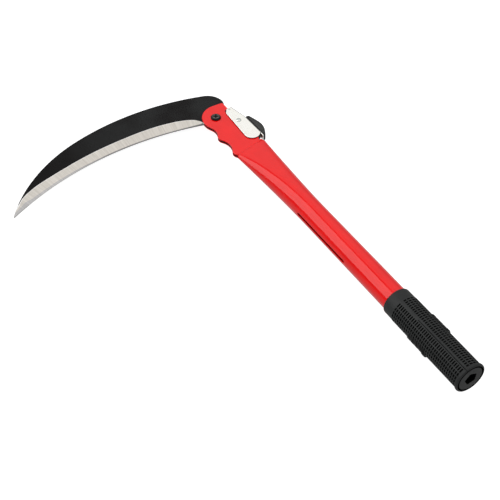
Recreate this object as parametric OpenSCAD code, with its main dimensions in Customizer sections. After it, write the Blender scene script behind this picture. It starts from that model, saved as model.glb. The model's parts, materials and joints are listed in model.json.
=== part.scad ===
// Folding hand sickle: a curved blade that folds into a steel tube handle,
// held open or closed by a sprung lever with a lock pin.
// Frame: origin at the mouth of the hanging hole in the grip's end face,
// X along the handle (the grip's end faces +X), the blade lies in the XY
// plane, the cutting side of the handle faces -Y, +Z is normal to the blade.

/* [Handle] */
// Distance along the handle from the pivot axis to the end of the grip
pivot_to_end = 406; // [390:1:430]
// Outside diameter of the round part of the steel tube
tube_d = 25; // [24.8:0.1:25.2]
// Wall thickness of the steel tube
tube_wall = 1.2; // [1.0:0.1:1.4]
// Width of the slot that takes the point of the folded blade
slot_w = 3.5; // [3.2:0.1:4.5]

/* [Grip] */
// Outside diameter of the rubber grip
grip_d = 29.0; // [28.4:0.1:29.6]
// Length of the rubber grip
grip_len = 103; // [95:1:115]
// Diameter of the hanging hole in the end of the grip
hang_hole_d = 9.4; // [6:0.2:10]

/* [Blade] */
// Thickness of the blade
blade_t = 2.0; // [1.8:0.1:2.0]
// Width of the ground bevel along the cutting edge
bevel_w = 12.2; // [9:0.1:14]

/* [Lever] */
// Thickness of the lever's steel sheet
lever_t = 1.2; // [1.0:0.1:1.2]
// Diameter of the lock pin
lock_pin_d = 3.0; // [2.6:0.1:3.0]
// Height of the thumb pad above the lever's back
pad_h = 7.7; // [6.5:0.1:8.5]

/* [Pivot] */
// Outside diameter of the barrel that the blade turns on
barrel_d = 6.0; // [5:0.5:7]
// Diameter of the pivot screw's head
screw_head_d = 10.6; // [9:0.1:11.5]

/* [Hidden] */
$fn = 96;

// pivot axis in the part's frame
px = -pivot_to_end;
py = -6.4;
// half of the gap between the two cheeks, and half of the head's thickness
gap_h = blade_t/2 + 0.1;
head_h = gap_h + 1.3;
// inner and outer faces of the lever's two sides
lev_in = head_h + 0.1;
lev_out = lev_in + lever_t;
tube_r = tube_d/2;
run = 0.05;          // radial running clearance
fold_angle = 87;     // travel of the blade from open to folded

function arc(c, r, a0, a1, n) =
    [for (i = [0:n]) c + r*[cos(a0 + (a1 - a0)*i/n), sin(a0 + (a1 - a0)*i/n)]];
// centre of a circle of radius r that touches two circles from outside
function touch(c1, r1, c2, r2, r, s) =
    let (d = norm(c2 - c1),
         a = ((r1 + r)*(r1 + r) - (r2 + r)*(r2 + r) + d*d)/(2*d),
         h = sqrt((r1 + r)*(r1 + r) - a*a),
         u = (c2 - c1)/d)
    c1 + a*u + s*h*[-u[1], u[0]];
// crossing of two circles
function cross2(c1, r1, c2, r2, s) =
    let (d = norm(c2 - c1), a = (r1*r1 - r2*r2 + d*d)/(2*d),
         h = sqrt(r1*r1 - a*a), u = (c2 - c1)/d)
    c1 + a*u + s*h*[-u[1], u[0]];
function ang(v) = atan2(v[1], v[0]);
function turn(p, a) = [p[0]*cos(a) - p[1]*sin(a), p[0]*sin(a) + p[1]*cos(a)];

module at_pivot() { translate([px, py, 0]) children(); }
module plate(z0, z1) { translate([0, 0, z0]) linear_extrude(z1 - z0) children(); }
module pin_z(x, y, d, z0, z1) { translate([x, y, z0]) cylinder(d = d, h = z1 - z0); }

// ---------------------------------------------------------------- blade
// Every point below is measured from the pivot axis.
edge_c = [302.5, -93.9];   edge_r = 312.4;   // cutting edge
back_a = [202.5, -71.4];   back_ar = 255.5;  // back, near the heel
back_b = [130.5, -91.7];   back_br = 180.7;  // back, near the point
heel_c = [-22.6, 2.5];   heel_r = 18.6;    // rounded heel
tang_r = 13;                                // tang below the pivot
rim_r = 16.65;                              // rim that the lock pin rides on
// lock pin: centre with the lever at rest, and dropped into its notch
rivet_p = [17.2, 17.3];
pin_p = [-3.3, 18.0];
pin_locked = rivet_p + turn(pin_p - rivet_p, 4);
tip = cross2(back_b, back_br, edge_c, edge_r, -1);

function blade_outline() = concat(
    arc(heel_c, heel_r, 84, ang(heel_c - back_a), 14),
    arc(back_a, back_ar, ang(heel_c - back_a) + 1.2, 195.7, 26),
    arc(back_b, back_br, 195.7 + 1.1, 360 + ang(tip - back_b) - 0.8, 24),
    [tip + [-0.36, 0.29], tip + [-0.28, 0.54]],
    arc(edge_c, edge_r, 360 + ang(tip - edge_c) - 0.6, 165.05, 44),
    arc([0, 0], tang_r, -84, -2, 16),
    arc([0, 0], rim_r, 1.5, 104, 26));

module bevel_cut() {
    translate([edge_c[0], edge_c[1], 0]) rotate([0, 0, 166.5])
        rotate_extrude(angle = 46, $fn = 360)
            polygon([[edge_r - 2, -blade_t/2 - 0.49], [edge_r + 1.3, -blade_t/2 + 0.65],
                     [edge_r + bevel_w, blade_t/2], [edge_r + bevel_w, blade_t/2 + 0.5],
                     [edge_r - 2, blade_t/2 + 0.5]]);
}

module blade() {
    color([0.17, 0.17, 0.18]) at_pivot() difference() {
        plate(-blade_t/2, blade_t/2) polygon(blade_outline());
        bevel_cut();
        pin_z(0, 0, barrel_d + 2*run, -2, 2);
        // notches that hold the blade open and closed
        for (a = [0, -fold_angle]) {
            n = turn(pin_locked, a);
            pin_z(n[0], n[1], lock_pin_d + 0.3, -2, 2);
        }
    }
}

// --------------------------------------------------------------- handle
lobe_c = [1.8, 6.4];    lobe_r = 20.9;
bump1_c = [29.8, -7.2]; bump1_r = 7;
bump2_c = [57.3, -6.5]; bump2_r = 6.7;
val1_r = 16;            val2_r = 18;
val1_c = touch(lobe_c, lobe_r, bump1_c, bump1_r, val1_r, -1);
val2_c = touch(bump1_c, bump1_r, bump2_c, bump2_r, val2_r, -1);
head_end = 62.4;        // where the cheeks run into the tube
function mix(a, b, t) = a + (b - a)*t;

module cheek_2d() {
    t1 = mix(lobe_c, val1_c, lobe_r/(lobe_r + val1_r));
    t2 = mix(bump1_c, val1_c, bump1_r/(bump1_r + val1_r));
    t3 = mix(bump1_c, val2_c, bump1_r/(bump1_r + val2_r));
    t4 = mix(bump2_c, val2_c, bump2_r/(bump2_r + val2_r));
    difference() {
        union() {
            polygon([[-18.4, 17.6], [-18.9, 6.5], lobe_c, t1, t2, t3, t4,
                     bump2_c + [0, -bump2_r], [head_end, -13.2],
                     [head_end, 24.2], [61.4, 24.0], [59.8, 22.9], [58.8, 21.0], [57.8, 19.9],
                     [52, 19.9], [50.4, 21.4], [8, 21.4], [1.5, 18.8], [-17.2, 18.8]]);
            intersection() {
                translate(lobe_c) circle(lobe_r);
                translate([-30, -30]) square([60, 36.4]);
            }
            translate(bump1_c) circle(bump1_r);
            intersection() {
                translate(bump2_c) circle(bump2_r);
                translate([40, -20]) square([head_end - 40, 20]);
            }
        }
        translate(val1_c) circle(val1_r, $fn = 180);
        translate(val2_c) circle(val2_r, $fn = 180);
        // slot for the lock pin, open towards the lever
        translate([-3.4, 15.8]) circle(2.2);
        translate([-5.6, 15.8]) square([4.4, 6]);
    }
}

// The tube is pressed from round to a flat oval between the two stations
// below; each ring is an ellipse of nearly the same girth.
flat_x = px + 59.5;     // flattened end, under the cheeks
crease_x = px + 63;
round_x = px + 171;
function half_w(u) = tube_r + 5.7*pow(1 - u, 1.7);
function half_t(u) = tube_r - (tube_r - 4.2)*pow(1 - u, 2.2);
rings = 40;
stations = [for (i = [0:13]) i/13];
function ring(x, a, b) = [for (i = [0:rings - 1]) [x, a*cos(360*i/rings), b*sin(360*i/rings)]];
function skin(off) = concat(
    ring(flat_x, half_w(0) - 0.7 - off, 2.9 - min(off, 1.3)),
    [for (u = stations) each ring(crease_x + (round_x - crease_x)*u,
        half_w(u) - 0.08*u - off*(1 - 0.16*u), half_t(u) - 0.08*u - off*(1 - 0.16*u))]);
module pressed_shell() {
    nr = len(stations) + 1;
    n = rings;
    outer = skin(0);
    inner = skin(tube_wall);
    k = len(outer);
    faces = concat(
        [for (j = [0:nr - 2], i = [0:n - 1]) each [
            [j*n + i, j*n + (i + 1)%n, (j + 1)*n + i],
            [j*n + (i + 1)%n, (j + 1)*n + (i + 1)%n, (j + 1)*n + i]]],
        [for (j = [0:nr - 2], i = [0:n - 1]) each [
            [k + j*n + i, k + (j + 1)*n + i, k + j*n + (i + 1)%n],
            [k + j*n + (i + 1)%n, k + (j + 1)*n + i, k + (j + 1)*n + (i + 1)%n]]],
        [for (i = [0:n - 1]) each [
            [i, k + i, (i + 1)%n],
            [(i + 1)%n, k + i, k + (i + 1)%n],
            [(nr - 1)*n + i, (nr - 1)*n + (i + 1)%n, k + (nr - 1)*n + i],
            [(nr - 1)*n + (i + 1)%n, k + (nr - 1)*n + (i + 1)%n, k + (nr - 1)*n + i]]]);
    polyhedron(concat(outer, inner), [for (f = faces) [f[2], f[1], f[0]]]);
}

module handle_tube() {
    color([0.93, 0.16, 0.16]) difference() {
        union() {
            // round part, up to the inside of the grip's closed end
            translate([round_x - 1.5, 0, 0]) rotate([0, 90, 0]) difference() {
                cylinder(r = tube_r, h = -4 - round_x + 1.5);
                translate([0, 0, -1]) cylinder(r = tube_r - tube_wall, h = -round_x);
            }
            pressed_shell();
            at_pivot() {
                plate(gap_h, head_h) cheek_2d();
                plate(-head_h, -gap_h) cheek_2d();
            }
        }
        // the gap between the cheeks stays open on the cutting side
        translate([px + 40, -30, -gap_h]) cube([24.5, 22, 2*gap_h]);
        // slot that the point of the blade folds into
        translate([px + 163, -20, -slot_w/2]) cube([77.2, 12, slot_w]);
        at_pivot() {
            pin_z(0, 0, barrel_d + 2*run, -6, 6);
            pin_z(rivet_p[0], rivet_p[1], 4.0, -6, 6);
        }
    }
}

// ----------------------------------------------------------------- grip
module grip() {
    r = grip_d/2;
    h = hang_hole_d/2;
    color([0.18, 0.19, 0.19]) difference() {
        union() {
            rotate([0, 90, 0]) rotate_extrude()
                polygon([[h, 0], [12.2, 0], [12.2, -0.6], [13.0, -0.6], [13.0, 0], [13.9, 0],
                         [14.8, -0.5], [15.3, -1.3], [15.3, -2.6], [14.9, -3.4], [r, -3.6],
                         [r, -90.7], [r - 0.3, -91.6], [r - 0.3, 1.6 - grip_len],
                         [r - 0.7, 0.4 - grip_len], [r - 1.2, -grip_len], [tube_r, -grip_len],
                         [tube_r, -4], [h, -4]]);
            // a low ribbed patch on each side, with a taller last rib
            for (a = [28, 208]) rotate([a - 90, 0, 0])
                for (i = [0:4]) translate([-65.9 + 5.12*i, -5, r - 1])
                    cube([3.4, 10, 1 + (i == 4 ? (a > 90 ? 1.1 : 0.6) : 0.45)]);
        }
    }
}

// ---------------------------------------------------------------- pivot
module pivot_barrel() {
    color([0.12, 0.12, 0.13]) at_pivot() difference() {
        union() {
            pin_z(0, 0, barrel_d, -head_h - 0.5, gap_h + 1.1);
            pin_z(0, 0, screw_head_d, -head_h - 1.9, -head_h);
        }
        pin_z(0, 0, 4.0, -head_h - 1.2, 6);
    }
}

module pivot_screw() {
    color([0.10, 0.10, 0.10]) at_pivot() difference() {
        union() {
            pin_z(0, 0, 3.9, -head_h - 0.6, head_h + 0.5);
            translate([0, 0, head_h]) rotate_extrude()
                polygon([[0, 0], [screw_head_d/2, 0], [screw_head_d/2, 0.8],
                         [screw_head_d/2 - 0.5, 1.5], [screw_head_d/2 - 1.5, 2.0],
                         [screw_head_d/2 - 3, 2.2], [0, 2.2]]);
        }
        // cross recess
        for (a = [20, 110]) rotate([0, 0, a])
            translate([-2.7, -0.6, head_h + 0.9]) cube([5.4, 1.2, 2]);
    }
}

// ---------------------------------------------------------------- lever
tail_c = [41.5, 18.6];  tail_r = 8.25;
// outer and inner line of the lever's back, and of the tail it ends in
back_line = [[-6.9, 22.5], [14.2, 26.8], [46.0, 27.2]];
back_inner = [[46.0, 26.0], [14.4, 25.6], [-6.5, 21.35]];
tail_line = [[45, 27.19], [49.4, 27.2], [51.1, 26.8], [50.8, 25.6], [49.2, 26.0], [45, 25.99]];
tail_w = 3.1;

module lever() {
    color([0.90, 0.90, 0.88]) at_pivot() difference() {
        union() {
            for (s = [-1, 1]) plate(s > 0 ? lev_in : -lev_out, s > 0 ? lev_out : -lev_in) {
                polygon([[-0.8, 12.4], [41.1, 10.36], tail_c, [47.6, 24.1], [46.0, 27.2],
                         [14.2, 26.8], [-6.9, 22.5], [-5.1, 16.0]]);
                translate(tail_c) circle(tail_r);
            }
            plate(-lev_out, lev_out) polygon(concat(back_line, back_inner));
            plate(-tail_w, tail_w) polygon(tail_line);
        }
        pin_z(rivet_p[0], rivet_p[1], 4.0 + 2*run, -6, 6);
        pin_z(pin_p[0], pin_p[1], lock_pin_d, -6, 6);
        // holes for the pad's two studs
        for (x = [22, 38]) translate([x, 24, 0]) rotate([-90, 0, 0]) cylinder(d = 2.8, h = 4);
    }
}

module lever_rivet() {
    color([0.86, 0.86, 0.84]) at_pivot() {
        pin_z(rivet_p[0], rivet_p[1], 4.0, -lev_out - 0.5, lev_out + 0.5);
        for (s = [0, 180]) translate([rivet_p[0], rivet_p[1], 0]) rotate([s, 0, 0])
            translate([0, 0, lev_out + 0.05]) rotate_extrude()
                polygon([[0, 0], [2.7, 0], [2.55, 0.45], [2.1, 0.85], [1.3, 1.15], [0, 1.25]]);
    }
}

module lock_pin() {
    color([0.80, 0.80, 0.78]) at_pivot()
        pin_z(pin_p[0], pin_p[1], lock_pin_d, -lev_out - 0.15, lev_out + 0.15);
}

// bent strip between the handle's edge and the lever's back
module lever_spring() {
    color([0.55, 0.56, 0.58]) at_pivot() {
        plate(-2.2, 2.2) polygon([[24, 21.45], [40.6, 21.45], [42.2, 22.0], [42.6, 22.9], [41.6, 23.6],
                                  [29, 25.45], [27, 25.2], [27.1, 24.75], [29, 24.95],
                                  [41.2, 23.15], [42.0, 22.75], [41.8, 22.3], [40.5, 21.95], [24, 21.95]]);
        plate(-0.9, 0.9) polygon([[24, 19], [24.5, 19], [24.5, 21.6], [24, 21.6]]);
    }
}

module thumb_pad() {
    w = lev_out - 0.1;
    top = 27 + pad_h;
    color([0.20, 0.20, 0.21]) at_pivot() difference() {
        union() {
            plate(-w, w) polygon(concat(
                [[15.7, 26.83]],
                [[15.8, top - 4.8], [17.0, top - 4.1], [24.9, top - 1.8], [30, top - 0.5], [33.9, top],
                 [38.5, top - 0.4], [42.6, top - 1.6], [48.3, top - 4.3], [50.6, top - 5.6],
                 [52.0, top - 7.1], [52.2, 26.9], [51.1, 26.8], [49.4, 27.2], [45, 27.19]]));
            for (x = [22, 38]) translate([x, 24.9, 0]) rotate([-90, 0, 0]) {
                cylinder(d = 2.8, h = 4);
                cylinder(d = 3.8, h = 0.75);
            }
        }
        // ribs along both sides
        for (s = [-1, 1], i = [0:3])
            translate([19 - i, 28.2 + 1.5*i, s*w - 0.35]) cube([31 - 5*i, 0.6, 0.7]);
        // the sides come in a little towards the tail
        for (s = [-1, 1]) translate([0, 22, 0]) rotate([-90, 0, 0]) linear_extrude(16)
            polygon([[46, s*w], [53, s*(w - 0.8)], [53, s*(w + 1)], [46, s*(w + 1)]]);
        // grip ridges across the back
        for (i = [0:8]) translate([19.5 + 3.2*i, 27 + pad_h - (i - 4.4)*(i - 4.4)*0.17 - 0.45, -6])
            cube([1.1, 3, 12]);
    }
}

handle_tube();
grip();
blade();
pivot_barrel();
pivot_screw();
lever();
lever_rivet();
lock_pin();
lever_spring();
thumb_pad();
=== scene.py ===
import json
import math

import bmesh
import bpy
import numpy as np
from mathutils import Matrix, Vector, geometry

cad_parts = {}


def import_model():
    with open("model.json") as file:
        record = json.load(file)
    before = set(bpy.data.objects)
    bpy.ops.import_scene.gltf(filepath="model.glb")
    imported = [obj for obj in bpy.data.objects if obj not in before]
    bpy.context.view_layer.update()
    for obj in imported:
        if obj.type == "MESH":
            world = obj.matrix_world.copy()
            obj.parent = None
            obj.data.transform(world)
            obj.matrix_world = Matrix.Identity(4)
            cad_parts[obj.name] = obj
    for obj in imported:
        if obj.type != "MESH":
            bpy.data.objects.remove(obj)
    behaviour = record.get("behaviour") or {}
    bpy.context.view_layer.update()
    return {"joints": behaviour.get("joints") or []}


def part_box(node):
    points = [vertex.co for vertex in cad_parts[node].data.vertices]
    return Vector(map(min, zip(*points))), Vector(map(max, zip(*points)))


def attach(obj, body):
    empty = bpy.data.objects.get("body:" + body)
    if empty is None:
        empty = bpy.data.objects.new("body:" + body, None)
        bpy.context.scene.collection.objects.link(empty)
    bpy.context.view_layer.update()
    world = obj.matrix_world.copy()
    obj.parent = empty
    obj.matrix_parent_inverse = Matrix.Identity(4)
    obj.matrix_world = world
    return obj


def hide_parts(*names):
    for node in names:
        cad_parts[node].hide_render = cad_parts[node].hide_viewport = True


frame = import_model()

MM = 0.001

# ------------------------------------------------------------------ places
# All lengths below are in millimetres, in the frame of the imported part.
joint = {j["name"]: j for j in frame["joints"]}
PX, PY = [1000 * c for c in joint["blade_fold"]["pos_m"][:2]]
RX, RY = [1000 * c for c in joint["lever_press"]["pos_m"][:2]]
P0 = np.array([PX, PY])
BLADE_T = 2.0
GAP = BLADE_T / 2 + 0.1          # half of the gap between the cheeks
HEAD = GAP + 1.3                 # outer face of a cheek
LEV_IN, LEV_OUT = HEAD + 0.1, HEAD + 1.3
TUBE_R = 12.5
GRIP_LO, GRIP_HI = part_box("grip")
GRIP_L = -1000 * GRIP_LO.x
GRIP_R = 14.5


# ------------------------------------------------------------- mesh helpers
def arc(c, r, a0, a1, n):
    t = np.radians(np.linspace(a0, a1, n + 1))
    return [(c[0] + r * math.cos(x), c[1] + r * math.sin(x)) for x in t]


def ang(v):
    return math.degrees(math.atan2(v[1], v[0]))


def touch(c1, r1, c2, r2, r, s):
    c1, c2 = np.array(c1, float), np.array(c2, float)
    d = np.linalg.norm(c2 - c1)
    a = ((r1 + r) ** 2 - (r2 + r) ** 2 + d * d) / (2 * d)
    h = math.sqrt((r1 + r) ** 2 - a * a)
    u = (c2 - c1) / d
    return c1 + a * u + s * h * np.array([-u[1], u[0]])


def turn(p, deg):
    a = math.radians(deg)
    return np.array([p[0] * math.cos(a) - p[1] * math.sin(a), p[0] * math.sin(a) + p[1] * math.cos(a)])


def clean(pts, tol=0.03):
    """A closed loop without points closer than tol."""
    out = []
    for p in pts:
        if not out or math.dist(p, out[-1]) > tol:
            out.append((float(p[0]), float(p[1])))
    while len(out) > 3 and math.dist(out[0], out[-1]) <= tol:
        out.pop()
    return np.array(out)


def fillet(pts, radii, seg=5):
    """Rounds the corners of a polygon; radii is {corner index: radius}."""
    n, out = len(pts), []
    for i, p in enumerate(pts):
        p = np.array(p, float)
        r = radii.get(i, 0)
        if not r:
            out.append(tuple(p))
            continue
        a = np.array(pts[i - 1], float) - p
        b = np.array(pts[(i + 1) % n], float) - p
        la, lb = np.linalg.norm(a), np.linalg.norm(b)
        a, b = a / la, b / lb
        half = math.acos(max(-1, min(1, float(a @ b)))) / 2
        d = min(r / math.tan(half), 0.48 * la, 0.48 * lb)
        r = d * math.tan(half)
        c = p + (a + b) / np.linalg.norm(a + b) * (r / math.sin(half))
        s, e = p + a * d - c, p + b * d - c
        a0, a1 = math.atan2(s[1], s[0]), math.atan2(e[1], e[0])
        da = (a1 - a0 + math.pi) % (2 * math.pi) - math.pi
        for k in range(seg + 1):
            t = a0 + da * k / seg
            out.append((c[0] + r * math.cos(t), c[1] + r * math.sin(t)))
    return out


def area2(p):
    x, y = p[:, 0], p[:, 1]
    return float(np.sum(x * np.roll(y, -1) - np.roll(x, -1) * y))


def offset(p, d):
    """Moves a closed loop to its left by d (a number or one per point)."""
    e = np.roll(p, -1, 0) - p
    e /= np.maximum(np.linalg.norm(e, axis=1), 1e-9)[:, None]
    n1 = np.stack([-e[:, 1], e[:, 0]], 1)
    n0 = np.roll(n1, 1, 0)
    k = 1 + np.sum(n0 * n1, 1)
    n = (n0 + n1) / np.maximum(k, 0.45)[:, None]
    return p + n * (np.asarray(d, float).reshape(-1, 1) if np.ndim(d) else d)


def inside(pt, loops):
    x, y = pt
    hit = False
    for p in loops:
        x0, y0 = p[:, 0], p[:, 1]
        x1, y1 = np.roll(x0, -1), np.roll(y0, -1)
        m = (y0 > y) != (y1 > y)
        if m.any():
            xs = x0[m] + (y - y0[m]) / (y1[m] - y0[m]) * (x1[m] - x0[m])
            if int(np.sum(xs > x)) % 2:
                hit = not hit
    return hit


def cap(loops, extra=()):
    """Triangles over the closed loops, cut along the extra polylines.
    Returns (extra points, triangles); indices run over the loops, then the extra points."""
    pts, edges = [], []
    for p in loops:
        b = len(pts)
        pts += [tuple(q) for q in p]
        edges += [(b + i, b + (i + 1) % len(p)) for i in range(len(p))]
    added = []
    for line in extra:
        idx = []
        for q in line:
            if isinstance(q, (int, np.integer)):
                idx.append(int(q))
            else:
                idx.append(len(pts))
                pts.append((float(q[0]), float(q[1])))
                added.append(pts[-1])
        edges += list(zip(idx[:-1], idx[1:]))
    vs, _, fs, ov, _, _ = geometry.delaunay_2d_cdt([Vector(p) for p in pts], edges, [], 0, 1e-7)
    back = [o[0] if o else -1 for o in ov]
    tris = []
    for f in fs:
        ids = [back[i] for i in f]
        if -1 in ids or len(set(ids)) < 3:
            continue
        c = np.mean([pts[i] for i in ids], 0)
        if inside(c, loops):
            tris.append(tuple(ids))
    return added, tris


class Build:
    """Collects vertices and faces in millimetres."""

    def __init__(self):
        self.v, self.f, self.m, self.s = [], [], [], []

    def verts(self, pts):
        b = len(self.v)
        self.v += [tuple(map(float, p)) for p in pts]
        return list(range(b, len(self.v)))

    def face(self, ids, mat=0, smooth=True):
        out = []
        for i in ids:
            if not out or i != out[-1]:
                out.append(i)
        if len(out) > 1 and out[0] == out[-1]:
            out.pop()
        if len(out) > 2:
            self.f.append(tuple(out)); self.m.append(mat); self.s.append(smooth)

    def strip(self, a, b, mat=0, smooth=True, closed=True):
        n = len(a)
        for i in range(n if closed else n - 1):
            j = (i + 1) % n
            self.face((a[i], a[j], b[j], b[i]), mat, smooth)

    def obj(self, name, mats, body=None, replaces=(), slot=None, sharp=None, recalc=True):
        me = bpy.data.meshes.new(name)
        me.from_pydata([(x * MM, y * MM, z * MM) for x, y, z in self.v], [], self.f)
        me.polygons.foreach_set("material_index", self.m)
        me.polygons.foreach_set("use_smooth", self.s)
        for m in mats:
            me.materials.append(m)
        bm = bmesh.new()
        bm.from_mesh(me)
        bmesh.ops.remove_doubles(bm, verts=bm.verts, dist=1e-7)
        if recalc:
            bmesh.ops.recalc_face_normals(bm, faces=bm.faces)
        if sharp is not None:
            lim = math.radians(sharp)
            for e in bm.edges:
                if len(e.link_faces) == 2 and e.calc_face_angle(0) > lim:
                    e.smooth = False
        bm.to_mesh(me)
        bm.free()
        me.validate()
        me.update()
        o = bpy.data.objects.new(name, me)
        bpy.context.scene.collection.objects.link(o)
        if body:
            place(o, body, replaces)
        return o


def place(o, body, replaces=()):
    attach(o, body)
    if replaces:
        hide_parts(*replaces)
    return o


def rounded(z0, z1, r_lo, r_hi, seg):
    """(inset, z) rings of a plate's edge from its lower cap to its upper cap."""
    out = []
    for k in range(seg + 1):
        a = math.pi / 2 * k / seg
        out.append((r_lo * (1 - math.sin(a)), z0 + r_lo * (1 - math.cos(a))))
    for k in range(seg + 1):
        a = math.pi / 2 * k / seg
        out.append((r_hi * (1 - math.cos(a)), z1 - r_hi + r_hi * math.sin(a)))
    return out


def plate(b, loops, z0, z1, r_lo=0.15, r_hi=0.4, seg=3, mat=0, caps=None):
    """A flat plate with rounded edges, added to the Build b."""
    rings = rounded(z0, z1, r_lo, r_hi, seg)
    tops, bots = [], []
    for loop in loops:
        prev = None
        for k, (d, z) in enumerate(rings):
            p = offset(loop, d)
            ids = b.verts([(x, y, z) for x, y in p])
            if prev is not None:
                b.strip(prev, ids, mat)
            if k == 0:
                bots.append((p, ids))
            prev = ids
        tops.append((p, prev))
    _, tris = cap([np.asarray(q, float) for q in loops])
    for pack, m in ((bots, 0), (tops, 1)):
        flat = [i for _, ids in pack for i in ids]
        for t in tris:
            b.face([flat[i] for i in t], caps[m] if caps else mat, False)


def prism(loop, z0, z1, mat, name="cut_tmp"):
    """A straight-sided block for cutting."""
    b = Build()
    lo_ = b.verts([(x, y, z0) for x, y in loop])
    hi_ = b.verts([(x, y, z1) for x, y in loop])
    b.strip(lo_, hi_, 0, False)
    _, tris = cap([np.asarray(loop, float)])
    for t in tris:
        b.face([lo_[i] for i in t], 0, False)
        b.face([hi_[i] for i in t], 0, False)
    return b.obj(name, [mat])


def lathe(b, prof, n, place3, mat=0, closed=False):
    """Turns a profile of (r, h) about an axis; place3(r, t, h) gives the point."""
    rings = []
    for r, h in prof:
        if r < 1e-6:
            rings.append(b.verts([place3(0, 0, h)]) * n)
        else:
            rings.append(b.verts([place3(r, 2 * math.pi * i / n, h) for i in range(n)]))
    for a, c in zip(rings[:-1], rings[1:]):
        b.strip(a, c, mat)
    if closed:
        b.strip(rings[-1], rings[0], mat)


def boolean(o, cutter, op):
    m = o.modifiers.new("b", "BOOLEAN")
    m.operation, m.solver, m.object = op, "EXACT", cutter
    dg = bpy.context.evaluated_depsgraph_get()
    me = bpy.data.meshes.new_from_object(o.evaluated_get(dg), depsgraph=dg)
    o.modifiers.clear()
    old = o.data
    o.data = me
    bpy.data.meshes.remove(old)
    bpy.data.objects.remove(cutter)


def apply_mods(o):
    dg = bpy.context.evaluated_depsgraph_get()
    me = bpy.data.meshes.new_from_object(o.evaluated_get(dg), depsgraph=dg)
    o.modifiers.clear()
    old = o.data
    o.data = me
    bpy.data.meshes.remove(old)


def sharpen(o, deg):
    bm = bmesh.new()
    bm.from_mesh(o.data)
    lim = math.radians(deg)
    for e in bm.edges:
        e.smooth = not (len(e.link_faces) == 2 and e.calc_face_angle(0) > lim)
    bm.to_mesh(o.data)
    bm.free()


# --------------------------------------------------------------- materials
class Mat:
    def __init__(self, name, **sockets):
        self.m = bpy.data.materials.new(name)
        self.m.use_nodes = True
        self.t = self.m.node_tree
        self.bsdf = self.t.nodes["Principled BSDF"]
        for k, v in sockets.items():
            self.set(k.replace("_", " "), v)
        self.co = self.t.nodes.new("ShaderNodeTexCoord")

    def set(self, name, v):
        s = self.bsdf.inputs[name]
        if hasattr(s.default_value, "__len__"):
            s.default_value = tuple(v) + (1.0,) if len(v) == 3 and len(s.default_value) == 4 else v
        else:
            s.default_value = v

    def new(self, kind, **props):
        n = self.t.nodes.new("ShaderNode" + kind)
        for k, v in props.items():
            setattr(n, k, v)
        return n

    def link(self, a, b):
        self.t.links.new(a, b)

    def coords(self, scale=(1, 1, 1)):
        """Object coordinates in millimetres, stretched by scale."""
        n = self.new("Mapping")
        n.inputs["Scale"].default_value = tuple(1000 * s for s in scale)
        self.link(self.co.outputs["Object"], n.inputs["Vector"])
        return n.outputs["Vector"]

    def noise(self, vec, scale, detail=3, rough=0.55, dist=0.0):
        n = self.new("TexNoise")
        n.inputs["Scale"].default_value = scale
        n.inputs["Detail"].default_value = detail
        n.inputs["Roughness"].default_value = rough
        n.inputs["Distortion"].default_value = dist
        self.link(vec, n.inputs["Vector"])
        return n.outputs["Fac"]

    def ramp(self, fac, stops):
        n = self.new("ValToRGB")
        e = n.color_ramp.elements
        while len(e) < len(stops):
            e.new(0.5)
        for el, (p, c) in zip(e, stops):
            el.position = p
            el.color = tuple(c) + (1.0,) if len(c) == 3 else c
        self.link(fac, n.inputs["Fac"])
        return n.outputs["Color"]

    def fit(self, fac, a, b, lo=0.0, hi=1.0):
        n = self.new("MapRange")
        n.inputs["From Min"].default_value = lo
        n.inputs["From Max"].default_value = hi
        n.inputs["To Min"].default_value = a
        n.inputs["To Max"].default_value = b
        self.link(fac, n.inputs["Value"])
        return n.outputs["Result"]

    def math(self, op, a, b=None):
        n = self.new("Math", operation=op)
        for i, x in enumerate((a, b)):
            if x is None:
                continue
            if isinstance(x, (int, float)):
                n.inputs[i].default_value = x
            else:
                self.link(x, n.inputs[i])
        return n.outputs[0]

    def mix(self, fac, a, b):
        n = self.new("Mix", data_type="RGBA")
        self.link(fac, n.inputs["Factor"])
        for s, x in ((n.inputs[6], a), (n.inputs[7], b)):
            if isinstance(x, tuple):
                s.default_value = x + (1.0,)
            else:
                self.link(x, s)
        return n.outputs[2]

    def color(self, out):
        self.link(out, self.bsdf.inputs["Base Color"])

    def rough(self, out):
        self.link(out, self.bsdf.inputs["Roughness"])

    def bump(self, height, dist_mm, strength=1.0):
        n = self.new("Bump")
        n.inputs["Strength"].default_value = strength
        n.inputs["Distance"].default_value = dist_mm * MM
        self.link(height, n.inputs["Height"])
        prev = self.bsdf.inputs["Normal"]
        if prev.links:
            self.link(prev.links[0].from_socket, n.inputs["Normal"])
        self.link(n.outputs["Normal"], self.bsdf.inputs["Normal"])


# gloss red paint: a little orange peel and slight changes of depth in the colour
red = Mat("red_paint", Roughness=0.5, IOR=1.45, Specular_IOR_Level=0.02, Coat_Weight=1.0, Coat_Roughness=0.05, Coat_IOR=1.43)
c = red.coords()
red.color(red.ramp(red.noise(c, 0.05, 4, 0.6), [(0.3, (0.78, 0.0030, 0.0028)), (0.7, (0.86, 0.0046, 0.0040))]))
red.rough(red.fit(red.noise(c, 0.4, 3), 0.36, 0.48))
red.bump(red.noise(c, 0.75, 2, 0.5), 0.012)
RED = red.m

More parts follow.
